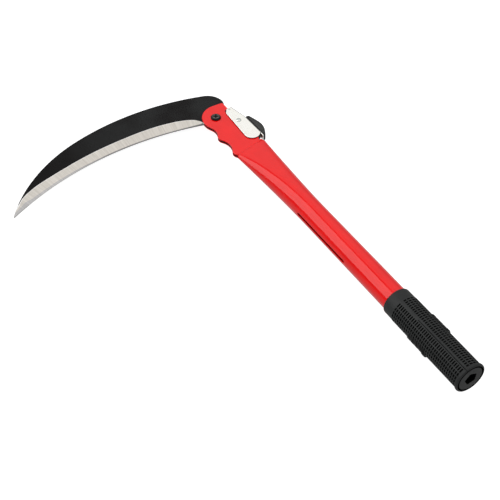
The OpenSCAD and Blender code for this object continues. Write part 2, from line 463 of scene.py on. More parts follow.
# black coating on the blade: satin, with a very fine rolled grain along X
blk = Mat("blade_coating", IOR=1.165)
c = blk.coords()
sep = blk.new("SeparateXYZ")
blk.link(c, sep.inputs[0])
tone = blk.ramp(blk.noise(c, 0.022, 4, 0.55), [(0.36, (0.0046, 0.0038, 0.0038)), (0.64, (0.0150, 0.0156, 0.0156))])
# the coating's colour is multiplied down towards the point: painted shade
tip_shade = blk.ramp(blk.fit(sep.outputs[1], 0.0, 1.0, PY - 60, PY - 225), [(0.0, (1.0, 1.0, 1.0)), (0.45, (0.72, 0.70, 0.70)), (1.0, (0.30, 0.26, 0.27))])
both = blk.new("Mix", data_type="RGBA", blend_type="MULTIPLY")
both.inputs["Factor"].default_value = 1.0
blk.link(tone, both.inputs[6])
blk.link(tip_shade, both.inputs[7])
blk.color(both.outputs[2])
blk.rough(blk.fit(blk.noise(c, 0.9, 4), 0.22, 0.34))
blk.bump(blk.noise(c, 2.2, 3), 0.008)
BLACK = blk.m


def ground_steel(name, dark, light, rough, line_strength, heel=None):
    """Steel with fine grinding lines that run across the cutting edge.
    heel is a multiplier for the colour at the heel, easing to 1 past the middle; this darkening is painted shade."""
    m = Mat(name, Metallic=1.0)
    sep = m.new("SeparateXYZ")
    m.link(m.coords(), sep.inputs[0])
    dx = m.math("SUBTRACT", sep.outputs[0], PX + 302.5)
    dy = m.math("SUBTRACT", sep.outputs[1], PY - 93.9)
    t = m.math("MULTIPLY", m.math("ARCTAN2", dy, m.math("MULTIPLY", dx, -1.0)), 312.4)
    rr = m.math("SQRT", m.math("ADD", m.math("MULTIPLY", dx, dx), m.math("MULTIPLY", dy, dy)))
    vec = m.new("CombineXYZ")
    m.link(t, vec.inputs[0])
    m.link(m.math("MULTIPLY", rr, 0.035), vec.inputs[1])
    fine = m.noise(vec.outputs[0], 1.9, 3, 0.65)
    mid = m.noise(vec.outputs[0], 0.75, 2, 0.5)
    wide = m.noise(vec.outputs[0], 0.05, 3, 0.6)
    both = m.math("ADD", m.math("MULTIPLY", fine, 0.40), m.math("ADD", m.math("MULTIPLY", mid, 0.45), m.math("MULTIPLY", wide, 0.15)))
    col = m.ramp(both, [(0.36, dark), (0.64, light)])
    # painted shade: the colour is darker towards the heel
    if heel:
        shade = m.ramp(m.fit(t, 0.0, 1.0, 85.0, -110.0), [(0.0, (heel,) * 3), (0.55, (heel * 1.5,) * 3), (0.8, (0.95,) * 3), (1.0, (1.0, 1.0, 1.0))])
        mul = m.new("Mix", data_type="RGBA", blend_type="MULTIPLY")
        mul.inputs["Factor"].default_value = 1.0
        m.link(col, mul.inputs[6])
        m.link(shade, mul.inputs[7])
        col = mul.outputs[2]
    m.color(col)
    m.rough(m.fit(fine, rough - 0.07, rough + 0.07, 0.3, 0.7))
    m.bump(fine, 0.010, line_strength)
    return m


BEVEL = ground_steel("ground_bevel", (0.57, 0.535, 0.485), (0.76, 0.72, 0.665), 0.40, 0.6).m
EDGE = ground_steel("honed_edge", (0.44, 0.43, 0.425), (0.60, 0.59, 0.58), 0.42, 0.6, 0.32).m
# lighter steel for a thin strip along the top of the bevel: painted highlight
RIM_HIGHLIGHT = ground_steel("bevel_rim_painted_highlight", (0.90, 0.88, 0.86), (0.98, 0.97, 0.95), 0.34, 0.4).m

# bright plated sheet
pl = Mat("plated_steel", Metallic=1.0)
c = pl.coords()
pl.color(pl.ramp(pl.noise(c, 0.12, 4, 0.6), [(0.3, (0.95, 0.935, 0.87)), (0.7, (1.0, 0.995, 0.945))]))
pl.rough(pl.fit(pl.noise(pl.coords((0.08, 1, 1)), 1.4, 3), 0.16, 0.30))
pl.bump(pl.noise(c, 0.5, 3), 0.006)
PLATED = pl.m

# headed ends of the lever's pins, plated steel made darker than the sheet: painted shade so that the domes stand out
rv = Mat("plated_rivet", Metallic=1.0)
c = rv.coords()
rv.color(rv.ramp(rv.noise(c, 0.9, 4, 0.6), [(0.3, (0.60, 0.63, 0.60)), (0.7, (0.82, 0.84, 0.80))]))
rv.rough(rv.fit(rv.noise(c, 1.4, 3), 0.14, 0.26))
RIVETED = rv.m

st = Mat("spring_strip", Metallic=1.0)
c = st.coords((0.05, 1, 1))
st.color(st.ramp(st.noise(c, 1.5, 3), [(0.3, (0.40, 0.40, 0.41)), (0.7, (0.52, 0.52, 0.53))]))
st.rough(st.fit(st.noise(c, 2.0, 3), 0.28, 0.42))
SPRING = st.m

# bare cut edges of the plated sheet, near black and tinted red: partly the bare steel, partly painted shade along the
# lever's edges
se = Mat("sheared_edge_and_painted_shade", Metallic=1.0)
c = se.coords()
se.color(se.ramp(se.noise(c, 1.1, 4), [(0.3, (0.050, 0.034, 0.032)), (0.75, (0.13, 0.095, 0.09))]))
se.rough(se.fit(se.noise(c, 2.0, 3), 0.38, 0.55))
se.bump(se.noise(se.coords((1, 1, 0.15)), 3.0, 3), 0.02)
SHEARED_AND_SHADE = se.m

# lighter metal on the flat crown of the screw: painted highlight
wo = Mat("crown_painted_highlight", Metallic=0.9)
c = wo.coords()
wo.color(wo.ramp(wo.noise(c, 1.5, 4), [(0.3, (0.05, 0.046, 0.042)), (0.75, (0.20, 0.19, 0.18))]))
wo.rough(wo.fit(wo.noise(c, 2.0, 3), 0.3, 0.5))
CROWN_HIGHLIGHT = wo.m

# black oxide of the screw and its barrel
ox = Mat("black_oxide", IOR=1.24)
c = ox.coords()
ox.color(ox.ramp(ox.noise(c, 0.5, 4), [(0.3, (0.004, 0.0035, 0.0035)), (0.75, (0.010, 0.009, 0.009))]))
ox.rough(ox.fit(ox.noise(c, 1.2, 3), 0.22, 0.38))
ox.bump(ox.noise(c, 2.5, 3), 0.006)
OXIDE = ox.m

# moulded plastic of the thumb pad
pp = Mat("pad_plastic", IOR=1.26)
c = pp.coords()
pp.color(pp.ramp(pp.noise(c, 0.2, 4), [(0.3, (0.009, 0.009, 0.0095)), (0.7, (0.016, 0.016, 0.0165))]))
pp.rough(pp.fit(pp.noise(c, 1.0, 3), 0.42, 0.58))
pp.bump(pp.noise(c, 4.0, 3), 0.012)
PAD = pp.m

# the same plastic where it is left matt, in the sunk side panels
pn = Mat("pad_panel", IOR=1.5)
c = pn.coords()
pn.color(pn.ramp(pn.noise(c, 0.5, 4), [(0.3, (0.024, 0.024, 0.0225)), (0.7, (0.052, 0.052, 0.0485))]))
pn.rough(pn.fit(pn.noise(c, 1.5, 3), 0.5, 0.7))
pn.bump(pn.noise(c, 5.0, 3), 0.02)
PANEL = pn.m

# rubber of the grip
ru = Mat("grip_rubber", IOR=1.37)
c = ru.coords()
ru.color(ru.ramp(ru.noise(c, 0.09, 5, 0.6), [(0.3, (0.0096, 0.0106, 0.0106)), (0.7, (0.0168, 0.0184, 0.0181))]))
ru.rough(ru.fit(ru.noise(c, 0.8, 3), 0.46, 0.62))
ru.bump(ru.noise(c, 5.0, 3), 0.014)
RUBBER = ru.m

# rough mould texture in the bottoms of the pits, darker than the lands: painted shade in the pits
pt = Mat("grip_rubber_pits_painted_shade", Roughness=0.9, IOR=1.3, Specular_IOR_Level=0.12)
c = pt.coords()
pt.color(pt.ramp(pt.noise(c, 1.5, 3), [(0.3, (0.0020, 0.0022, 0.0022)), (0.7, (0.0045, 0.0048, 0.0048))]))
pt.bump(pt.noise(c, 6.0, 3), 0.02)
PIT_SHADE = pt.m

# end face of the grip, rubbed matt
rf = Mat("grip_rubber_face", IOR=1.4)
c = rf.coords()
rf.color(rf.ramp(rf.noise(c, 0.25, 5, 0.6), [(0.3, (0.026, 0.0268, 0.0268)), (0.7, (0.040, 0.041, 0.0405))]))
rf.rough(rf.fit(rf.noise(c, 1.0, 3), 0.6, 0.8))
rf.bump(rf.noise(c, 3.0, 4), 0.03)
RFACE = rf.m

# inside of the hanging hole and of the groove round the end face, near black: painted shade in these recesses
hk = Mat("grip_rubber_recess", Roughness=0.95, IOR=1.2, Specular_IOR_Level=0.05)
hk.color(hk.ramp(hk.noise(hk.coords(), 1.2, 3), [(0.3, (0.0006, 0.0006, 0.0006)), (0.7, (0.0018, 0.0018, 0.0018))]))
RECESS = hk.m

# duller rubber of the ribbed pads
rp = Mat("grip_rubber_pads", IOR=1.28)
c = rp.coords()
rp.color(rp.ramp(rp.noise(c, 0.15, 4), [(0.3, (0.0024, 0.0026, 0.0026)), (0.7, (0.0050, 0.0055, 0.0054))]))
rp.rough(rp.fit(rp.noise(c, 1.2, 3), 0.45, 0.65))
rp.bump(rp.noise(c, 4.0, 3), 0.02)
RPAD = rp.m

# unpainted inside of the tube, near black: the bare steel darkened further as painted shade; the cheeks' inner faces
# take it too, as painted shade in the gap between them
ins = Mat("tube_inside_and_gap_shade", Roughness=0.75, IOR=1.3)
c = ins.coords((0.2, 1, 1))
ins.color(ins.ramp(ins.noise(c, 0.4, 4), [(0.3, (0.010, 0.009, 0.009)), (0.7, (0.024, 0.020, 0.019))]))
INSIDE_AND_GAP_SHADE = ins.m


# -------------------------------------------------------------------- blade
EDGE_C, EDGE_R = np.array([302.5, -93.9]), 312.4
BACK_A, BACK_AR = np.array([202.5, -71.4]), 255.47
BACK_B, BACK_BR = np.array([130.5, -91.7]), 180.7
HEEL_C, HEEL_R = np.array([-22.6, 2.5]), 18.6
RIM_R = 16.65
RIVET = np.array([17.2, 17.3])
PIN = np.array([-3.3, 18.0])
PIN_LOCKED = RIVET + turn(PIN - RIVET, 4)


def cross2(c1, r1, c2, r2, s):
    d = np.linalg.norm(c2 - c1)
    a = (r1 * r1 - r2 * r2 + d * d) / (2 * d)
    h = math.sqrt(r1 * r1 - a * a)
    u = (c2 - c1) / d
    return c1 + a * u + s * h * np.array([-u[1], u[0]])


def bite(poly, c, r, n=14):
    """Takes a round notch out of a closed loop that runs anticlockwise."""
    poly = [np.array(p, float) for p in poly]
    out_flags = [np.linalg.norm(p - c) > r for p in poly]
    k0 = next(i for i in range(len(poly)) if out_flags[i] and not out_flags[i - 1])
    poly = poly[k0:] + poly[:k0]
    keep = [p for p in poly if np.linalg.norm(p - c) > r]

    def cut(a, b):
        d = b - a
        f = a - c
        A, B, C = d @ d, 2 * f @ d, f @ f - r * r
        q = math.sqrt(max(B * B - 4 * A * C, 0))
        return [a + d * t for t in ((-B - q) / (2 * A), (-B + q) / (2 * A)) if -1e-9 <= t <= 1 + 1e-9]

    inner = [p for p in poly if np.linalg.norm(p - c) <= r]
    a = cut(keep[-1], inner[0])[0]
    b = cut(inner[-1], keep[0])[-1]
    t0, t1 = math.atan2(*(a - c)[::-1]), math.atan2(*(b - c)[::-1])
    da = (t1 - t0) % (2 * math.pi)
    if da > 0:
        da -= 2 * math.pi      # the notch goes round through the metal, clockwise
    mid = c + r * np.array([math.cos(t0 + da / 2), math.sin(t0 + da / 2)])
    if not inside(mid, [np.array(poly)]):
        da += 2 * math.pi
    notch = [c + r * np.array([math.cos(t0 + da * i / n), math.sin(t0 + da * i / n)]) for i in range(n + 1)]
    return keep + notch


def blade():
    tip = cross2(BACK_B, BACK_BR, EDGE_C, EDGE_R, -1)
    a_ab = ang(HEEL_C - BACK_A) % 360
    th_tip = ang(tip - EDGE_C) % 360
    heel_end = 165.05
    edge_t = np.linspace(th_tip - 0.42, heel_end, 120)
    pts = (arc(HEEL_C, HEEL_R, 84, a_ab, 26)
           + arc(BACK_A, BACK_AR, a_ab + 0.6, 195.7, 52)
           + arc(BACK_B, BACK_BR, 196.2, ang(tip - BACK_B) % 360 - 0.62, 48))
    # the point itself is worn slightly round
    t0 = math.radians(th_tip - 0.42)
    e0, q0 = EDGE_C + EDGE_R * np.array([math.cos(t0), math.sin(t0)]), np.array(pts[-1])
    for k in (0.25, 0.5, 0.75):
        pts.append(tuple(q0 + (e0 - q0) * k + (tip - (q0 + e0) / 2) * 1.1 * k * (1 - k)))
    n_back = len(pts)
    pts += [tuple(EDGE_C + EDGE_R * np.array([math.cos(math.radians(t)), math.sin(math.radians(t))])) for t in edge_t]
    n_edge = len(pts)
    pts += arc((0, 0), 13, -84, -2, 30) + arc((0, 0), RIM_R, 1.5, 104, 60)
    loop = np.array(pts)
    for a in (0, -87):
        loop = np.array(bite(loop, turn(PIN_LOCKED, a), 1.65))
    loop = clean(loop, 0.02)
    hole = np.array(arc((0, 0), 3.05, 360, 0, 40))[:-1]

    # the grinding: width of the main bevel and of the honed band along the edge
    th = [165.2, 165.5, 166.0, 166.6, 167.3, 168.2, 170.0, 173.5, 177.0, 180.0, 183.0, 186.0, 190.0, 193.0, 196.0, 199.5, 202.0, 203.2, 203.8, 204.3, 204.7, 205.0, 205.4, 206.0, 214]
    wd = [0.0, 3.4, 6.3, 8.6, 10.1, 11.3, 12.8, 13.5, 13.1, 12.3, 11.9, 11.65, 11.35, 11.1, 11.4, 12.1, 11.3, 10.1, 9.0, 7.9, 7.1, 6.7, 6.3, 6.0, 6.0]
    th2 = [164, 188, 190, 195, 200, 202.3, 203, 204, 205, 206, 207.2, 214]
    wd2 = [1.25, 1.35, 1.8, 2.4, 2.8, 3.4, 4.3, 4.7, 4.2, 3.3, 2.4, 2.4]

    def polar(p):
        d = np.array(p) - EDGE_C
        return (ang(d) % 360), float(np.linalg.norm(d)) - EDGE_R

    def width(t):
        return float(np.interp(t, th, wd))

    def width2(t):
        return min(float(np.interp(t, th2, wd2)), width(t) * 0.5)

    def height(p):
        t, d = polar(p)
        if t > 210 or t < 163:
            return BLADE_T / 2
        w, w2 = width(t), width2(t)
        d = max(d, 0.0)
        if d >= w:
            return BLADE_T / 2
        slope = 0.124
        z1 = BLADE_T / 2 - slope * (w - w2)          # height where the honed band starts
        if d >= w2:
            return BLADE_T / 2 - slope * (w - d)
        run = min(1.0, w / 6.0)
        edge_z = z1 - (0.42 + 0.10 * (w2 - 1.3)) * run
        edge_z = max(edge_z, -BLADE_T / 2 + 0.14)
        return edge_z + (z1 - edge_z) * d / max(w2, 1e-6)

    is_edge = []
    for p in loop:
        t, d = polar(p)
        is_edge.append(abs(d) < 0.02 and heel_end - 0.01 <= t <= th_tip)
    is_edge = np.array(is_edge)
    near_tip = np.array([np.linalg.norm(p - tip) for p in loop])
    inset = np.where(is_edge, 0.03, 0.24)
    inset = np.where(near_tip < 6, np.minimum(inset, 0.06), inset)
    b = Build()
    top2 = offset(loop, inset)
    ztop = np.array([height(p) for p in top2])

    # polylines of the two grinding borders, ended on the outline
    def border(width_f, t0, t1, n, closed_end=True):
        out = []
        for t in np.linspace(t0, t1, n):
            r = EDGE_R + width_f(t)
            p = EDGE_C + r * np.array([math.cos(math.radians(t)), math.sin(math.radians(t))])
            if inside(p, [offset(loop, inset + 0.25)]):
                out.append(tuple(p))
        return out

    main = border(width, 165.35, th_tip, 170)
    hone = border(width2, 165.9, th_tip, 170)
    # tie their ends to the nearest outline points
    def nearest(p):
        return int(np.argmin(np.linalg.norm(top2 - np.array(p), axis=1)))

    # thin bright line along the top of the bevel, wider towards the point: a painted highlight in lighter steel
    def rim_w(t):
        return float(np.interp(t, [202.6, 204.4, 206.2], [0.42, 0.8, 2.0]))

    rim = border(lambda t: max(width(t) - rim_w(t), width(t) * 0.5), 166.6, th_tip, 170)
    rim.append(nearest(rim[-1]))
    main = [nearest(main[0])] + main + [nearest(main[-1])]
    hone = [nearest(hone[0])] + hone + [nearest(hone[-1])]
    ring0 = b.verts([(x, y, -BLADE_T / 2) for x, y in offset(loop, np.minimum(inset, 0.12))])
    z_a = np.minimum(-BLADE_T / 2 + 0.12, (ztop + -BLADE_T / 2) / 2)
    ring1 = b.verts([(x, y, z) for (x, y), z in zip(loop, z_a)])
    z_b = np.maximum(ztop - np.maximum(inset * 0.8, 0.02), z_a + 0.01)
    ring2 = b.verts([(x, y, z) for (x, y), z in zip(loop, z_b)])
    mid = offset(loop, inset * 0.3)
    ring25 = b.verts([(x, y, z) for (x, y), z in zip(mid, np.maximum(ztop - inset * 0.26, z_b + 0.002))])
    ring3 = b.verts([(x, y, z) for (x, y), z in zip(top2, ztop)])
    bare = [bool(e) or (d < 14 and (polar(p)[1] < width(polar(p)[0]) - 0.3)) for e, d, p in zip(is_edge, near_tip, loop)]
    n = len(loop)
    for lo_, hi_ in ((ring0, ring1), (ring1, ring2), (ring2, ring25), (ring25, ring3)):
        for i in range(n):
            j = (i + 1) % n
            b.face((lo_[i], lo_[j], hi_[j], hi_[i]), 2 if (bare[i] and bare[j]) else 0, True)
    hid0 = b.verts([(x, y, -BLADE_T / 2) for x, y in hole])
    hid1 = b.verts([(x, y, BLADE_T / 2) for x, y in hole])
    b.strip(hid0, hid1, 0)
    flat = ring3 + hid1
    added, tris = cap([loop, hole], [main, hone, rim])
    flat = flat + b.verts([(x, y, height((x, y))) for x, y in added])
    allp = [tuple(p) for p in top2] + [tuple(p) for p in hole] + added
    for t in tris:
        c = np.mean([allp[i] for i in t], 0)
        a, d = polar(c)
        m = 0
        if 163 < a < 210 and -0.5 < d < width(a) - 0.01:
            m = 2 if d < width2(a) else (3 if a > 166.6 and d > max(width(a) - rim_w(a), width(a) * 0.5) else 1)
        b.face([flat[i] for i in t], m, False)
    flat = ring0 + hid0
    _, tris = cap([loop, hole])
    for t in tris:
        b.face([flat[i] for i in t], 0, False)
    b.v = [(x + PX, y + PY, z) for x, y, z in b.v]
    return b.obj("sickle_blade", [BLACK, BEVEL, EDGE, RIM_HIGHLIGHT], "blade", ["blade"], "blade_steel")


blade()

# ------------------------------------------------------------------- handle
LOBE_C, LOBE_R = (1.8, 6.4), 20.9
B1, B1R, B2, B2R = (29.8, -7.2), 7.0, (57.3, -6.5), 6.7
V1R, V2R = 16.0, 18.0
V1, V2 = touch(LOBE_C, LOBE_R, B1, B1R, V1R, -1), touch(B1, B1R, B2, B2R, V2R, -1)


def cheek_loop():
    def along(c1, r1, c2, r2):
        c1, c2 = np.array(c1, float), np.array(c2, float)
        return c1 + (c2 - c1) * r1 / (r1 + r2)

    t1, t2 = along(LOBE_C, LOBE_R, V1, V1R), along(B1, B1R, V1, V1R)
    t3, t4 = along(B1, B1R, V2, V2R), along(B2, B2R, V2, V2R)

    def piece(c, r, p, q, n, ccw=True):
        a0, a1 = ang(np.array(p) - c), ang(np.array(q) - c)
        d = (a1 - a0) % 360
        if not ccw:
            d -= 360
        return arc(c, r, a0, a0 + d, n)

    c = np.array
    end = (62.4, -13.2)
    pts = ([(-18.4, 17.6), (-18.95, 12.0)]
           + piece(c(LOBE_C), LOBE_R, (-19.1, 6.4), t1, 30)
           + piece(c(V1), V1R, t1, t2, 14, False)
           + piece(c(B1), B1R, t2, t3, 14)
           + piece(c(V2), V2R, t3, t4, 14, False)
           + piece(c(B2), B2R, t4, (62.2, -11.1), 12))
    k = len(pts)
    pts += [(62.4, -10.5), (62.4, 20.5), (60.2, 20.9), (58.8, 20.4), (57.6, 19.9), (52, 19.9), (50.4, 21.4), (8, 21.4), (1.5, 18.8)]
    # slot for the lock pin, open to the top
    pts += [(-1.2, 18.8)] + arc((-3.4, 15.8), 2.2, 0, -180, 12) + [(-5.6, 18.8), (-17.2, 18.8)]
    radii = {0: 1.0, len(pts) - 1: 0.9, len(pts) - 2: 0.6, k + 8: 1.5, k + 7: 3.0, k + 6: 0.6, k + 5: 0.7, k + 4: 0.6}
    return clean(fillet(pts, radii, 4), 0.04)


def half_w(u):
    return TUBE_R + 5.7 * (1 - u) ** 1.7


def half_t(u):
    return TUBE_R - (TUBE_R - 4.2) * (1 - u) ** 2.2


def tube_rings(off, n=112):
    """Sections of the pressed tube: (x, list of points)."""
    out = []
    crease = PX + 63.0
    rnd = PX + 171.0
    rows = []
    # x at the cutting side, half width, half height, squareness, slant
    rows.append((crease - 4.2, 16.9, 2.2, 2.9, 1.0))
    rows.append((crease - 2.6, 17.3, 2.32, 2.9, 1.0))
    rows.append((crease - 2.05, 17.6, 2.46, 2.85, 1.0))
    rows.append((crease - 1.6, 17.8, 2.70, 2.8, 1.0))
    rows.append((crease - 0.2, 18.05, 3.78, 2.75, 1.0))
    rows.append((crease + 0.3, 18.2, 4.05, 2.7, 1.0))
    rows.append((crease + 1.0, 18.2, 4.17, 2.7, 1.0))
    for k in range(1, 37):
        u = k / 36
        x = crease + 1.0 + (rnd - crease - 1.0) * u
        rows.append((x, half_w(u), half_t(u), 2 + 0.7 * (1 - u) ** 1.6, max(0.0, 1 - u * 2.2)))
    for x in np.linspace(rnd + 4, -4, 30):
        rows.append((x, TUBE_R, TUBE_R, 2.0, 0.0))
    for x, a, b_, p, s in rows:
        ring = []
        for i in range(n):
            t = 2 * math.pi * i / n
            ct, st_ = math.cos(t), math.sin(t)
            e = 2 / p
            y = (a - off) * math.copysign(abs(ct) ** e, ct)
            z = max(b_ - off, 1.12) * math.copysign(abs(st_) ** e, st_)
            shift = -7.0 * s * max(0.0, min(1.0, (y + 13) / 31))
            ring.append((x + shift, y, z))
        out.append(ring)
    return out


def handle():
    # the tube with its wall
    b = Build()
    outer, inner = tube_rings(0.0), tube_rings(1.2)
    oi = [b.verts(r) for r in outer]
    ii = [b.verts(r) for r in inner]
    for p, q in zip(oi[:-1], oi[1:]):
        b.strip(p, q)
    for p, q in zip(ii[:-1], ii[1:]):
        b.strip(q, p, 1)
    b.strip(oi[0], ii[0], 0, False)
    b.strip(ii[-1], oi[-1], 0, False)
    o = b.obj("steel_tube_handle", [RED, INSIDE_AND_GAP_SHADE])
    # the cheeks
    loop = cheek_loop()
    loop = loop if area2(loop) > 0 else loop[::-1]
    hole_b = np.array(arc((0, 0), 3.05, 360, 0, 40))[:-1]
    hole_r = np.array(arc(tuple(RIVET), 2.0, 360, 0, 28))[:-1]
    for side in (1, -1):
        c = Build()
        # the faces towards the blade take the dark inside material: painted shade in the gap
        if side > 0:
            plate(c, [loop, hole_b, hole_r], GAP, HEAD, 0.12, 0.7, 5, caps=(1, 0))
        else:
            plate(c, [loop, hole_b, hole_r], -HEAD, -GAP, 0.7, 0.12, 5, caps=(0, 1))
        c.v = [(x + PX, y + PY, z) for x, y, z in c.v]
        k = c.obj("cheek_tmp", [RED, INSIDE_AND_GAP_SHADE])
        boolean(o, k, "UNION")

    x0, x1 = PX + 38, PX + 64.5
    boolean(o, prism([(x0, -34), (x1, -34), (x1, -8), (x0, -8)], -GAP + 0.013, GAP - 0.013, RED), "DIFFERENCE")
    # slot for the point of the folded blade, with round ends
    c = Build()
    x0, x1, h = PX + 163, PX + 240.2, 1.75
    stad = [(x0 + h + h * math.cos(t), h * math.sin(t)) for t in np.linspace(math.pi / 2, 3 * math.pi / 2, 12)]
    stad += [(x1 - h + h * math.cos(t), h * math.sin(t)) for t in np.linspace(-math.pi / 2, math.pi / 2, 12)]
    lo_ = c.verts([(x, -20, z) for x, z in stad])
    hi_ = c.verts([(x, -8, z) for x, z in stad])
    c.strip(lo_, hi_)
    c.face(lo_, 0, False)
    c.face(hi_[::-1], 0, False)
    boolean(o, c.obj("cut_tmp", [RED]), "DIFFERENCE")
    bm = bmesh.new()
    bm.from_mesh(o.data)
    bmesh.ops.remove_doubles(bm, verts=bm.verts, dist=4e-6)
    bmesh.ops.dissolve_degenerate(bm, edges=bm.edges, dist=2e-6)
    rim = [e for e in bm.edges if e.is_boundary]
    if rim:
        bmesh.ops.holes_fill(bm, edges=rim, sides=6)
    bm.to_mesh(o.data)
    bm.free()
    sharpen(o, 32)
    return place(o, "handle", ["handle_tube"])


handle()


# --------------------------------------------------------------------- grip
def grip():
    L = GRIP_L
    R = GRIP_R
    cell, pit_l = 2.5, 1.45
    x_start = -90.2
    n_pits = 35
    xs = []                         # (x, radius, in a pit's floor)
    prof_front = [(-L, TUBE_R + 0.03), (-L, R - 0.95), (-L + 0.1, R - 0.66), (-L + 0.32, R - 0.44), (-L + 0.7, R - 0.33),
                  (-L + 1.4, R - 0.3), (-92.0, R - 0.28), (-91.3, R - 0.2), (-90.7, R)]
    for x, r in prof_front:
        xs.append((x, r, 0.0))
    for k in range(n_pits):
        x0 = x_start + cell * k
        xs += [(x0, R, 0.0), (x0 + 0.14, R, 1.0), (x0 + pit_l - 0.14, R, 1.0), (x0 + pit_l, R, 0.0)]
    for x, r in [(-3.3, R - 0.1), (-3.0, R - 0.12), (-2.94, R + 0.2), (-2.76, R + 0.52), (-2.45, R + 0.74), (-2.1, R + 0.8), (-1.3, R + 0.8),
                 (-0.8, R + 0.68), (-0.35, R + 0.35), (-0.1, R - 0.12), (0.0, R - 0.55)]:
        xs.append((x, r, 0.0))
    # end face: rim, groove in near-black rubber (painted shade), face, hanging hole
    face = [(-0.02, R - 0.64, 0), (-0.12, R - 0.76, 0), (-1.3, R - 0.86, 3), (-1.4, R - 1.5, 3), (-1.3, R - 2.24, 3), (-0.12, R - 2.36, 3),
            (-0.02, R - 2.5, 2), (0.0, R - 4.0, 2), (0.0, 7.4, 2)]
    rows = 11
    gap = 15.0
    first = 15.4
    half = 5.6
    phis = []                        # (angle, in a pit's floor, parting groove)
    for base in (113.0, 293.0):
        phis += [(base - 5.0, 0, 0), (base - 1.6, 0, 0), (base - 0.7, 0, 1), (base + 0.7, 0, 1), (base + 1.6, 0, 0)]
        for k in range(rows):
            # the row beside the parting line has the longest pits
            c, h = (base + 13.2, 8.3) if k == 0 else (base + first + gap * k, half)
            phis += [(c - h, 0, 0), (c - h + 1.0, 1, 0), (c + h - 1.0, 1, 0), (c + h, 0, 0)]
    phis = sorted([(a % 360, f, g) for a, f, g in phis])
    A = [p[0] for p in phis]
    n = len(A)

    def patch(x, a):
        """1 inside one of the two plain zones under the ribbed pads."""
        d = min(abs((a - c + 180) % 360 - 180) for c in (28.0, 208.0))
        return abs((x + 56.0) / 13.2) ** 5 + abs(d / 36.0) ** 5 < 1

    b = Build()
    depth = 1.0
    prev = low_prev = None
    first_ring = None
    for x, r, f in xs:
        pts, low = [], []
        for a, g, groove in phis:
            rr = r
            low.append(bool(f and g and not patch(x, a)))
            if low[-1]:
                rr = r - depth
            if groove and -66 < x < -3.6:
                rr = r - 0.6
            if groove and -3.6 < x < -0.8:
                rr = r - 0.3
            t = math.radians(a)
            pts.append((x, rr * math.cos(t), rr * math.sin(t)))
        ids = b.verts(pts)
        if prev is not None:
            for i in range(n):
                j = (i + 1) % n
                # the pits and the parting groove take the darker pit rubber: painted shade
                cut = phis[i][2] and phis[j][2] and x > -66
                sunk = cut or low_prev[i] or low_prev[j] or low[i] or low[j]
                b.face((prev[i], prev[j], ids[j], ids[i]), 1 if sunk else 0, True)
        else:
            first_ring = ids
        prev, low_prev = ids, low
    for x, r, m in face:
        ids = b.verts([(x, r * math.cos(math.radians(a)), r * math.sin(math.radians(a))) for a in A])
        b.strip(prev, ids, m)
        prev = ids
    # hole with shallow lobes, open into the hollow end; its walls in near-black rubber are painted shade
    nh = 70

    def lobed(r, amp):
        out = []
        for i in range(nh):
            t = 2 * math.pi * i / nh
            q = r + amp * max(0.0, math.cos(5 * (t - 0.5))) ** 0.6
            out.append((q * math.cos(t), q * math.sin(t)))
        return np.array(out)

    ring = np.array([(7.4 * math.cos(math.radians(a)), 7.4 * math.sin(math.radians(a))) for a in A])
    hl = lobed(5.5, 0.85)
    hid = b.verts([(-0.02, y, z) for y, z in hl])
    _, tris = cap([ring, hl])
    both = prev + hid
    for t in tris:
        b.face([both[i] for i in t], 2, True)
    prev = hid
    for x, r, amp in ((-0.2, 5.2, 0.8), (-0.9, 4.72, 0.6), (-4.0, 4.72, 0.45)):
        hl = lobed(r, amp)
        ids = b.verts([(x, y, z) for y, z in hl])
        b.strip(prev, ids, 3)
        prev = ids
    # inside: back of the end wall and the bore on the tube
    bore = np.array([((TUBE_R + 0.02) * math.cos(math.radians(a)), (TUBE_R + 0.02) * math.sin(math.radians(a))) for a in A])
    bid = b.verts([(-4.0, y, z) for y, z in bore])
    _, tris = cap([bore, hl])
    both = bid + prev
    for t in tris:
        b.face([both[i] for i in t], 3, False)
    ids = b.verts([(-L + 0.3, y, z) for y, z in bore])
    b.strip(bid, ids, 1)
    b.strip(ids, first_ring, 1)
    o = b.obj("rubber_grip", [RUBBER, PIT_SHADE, RFACE, RECESS], "handle", ["grip"], "grip_rubber", sharp=38)
    # ribbed pads on both sides
    for name, mid, last, x_lo, long in (("grip_pad_front", 208.0, 1.5, -68.4, 24.8), ("grip_pad_rear", 28.0, 1.1, -67.6, 22.4)):
        b = Build()
        nx, na = 130, 30
        grid = []
        for i in range(nx + 1):
            x = x_lo + long * i / nx
            row = []
            for j in range(na + 1):
                s = -1 + 2 * j / na
                d = 32.0 * s
                e = abs((x - x_lo - long / 2) / (long / 2)) ** 5 + abs(s) ** 5
                shoulder = max(0.0, min(1.0, (1 - e) * 3.0))
                shoulder = shoulder * shoulder * (3 - 2 * shoulder)
                pitch = (long - 0.6) / 4.66
                ph = ((x - x_lo - 0.3) % pitch) / pitch
                ribw = max(0.0, min(1.0, min(ph, 0.66 - ph) / 0.07)) if ph < 0.66 else 0.0
                ribw = ribw * ribw * (3 - 2 * ribw)
                tall = (last if x > x_lo + long - 4.6 else 0.85) * (1 - 0.55 * abs(s) ** 3)
                rr = R - 0.32 + shoulder * (0.34 + tall * ribw)
                t = math.radians(mid + d)
                row.append((x, rr * math.cos(t), rr * math.sin(t)))
            grid.append(b.verts(row))
        for p, q in zip(grid[:-1], grid[1:]):
            b.strip(p, q, 0, True, False)
        low = []
        for i in (0, nx):
            row = []
            x = x_lo + long * i / nx
            for j in range(na + 1):
                t = math.radians(mid + 32.0 * (-1 + 2 * j / na))
                row.append((x, (R - 0.9) * math.cos(t), (R - 0.9) * math.sin(t)))
            low.append(b.verts(row))
        b.strip(grid[0], low[0], 0, False, False)
        b.strip(grid[-1], low[1], 0, False, False)
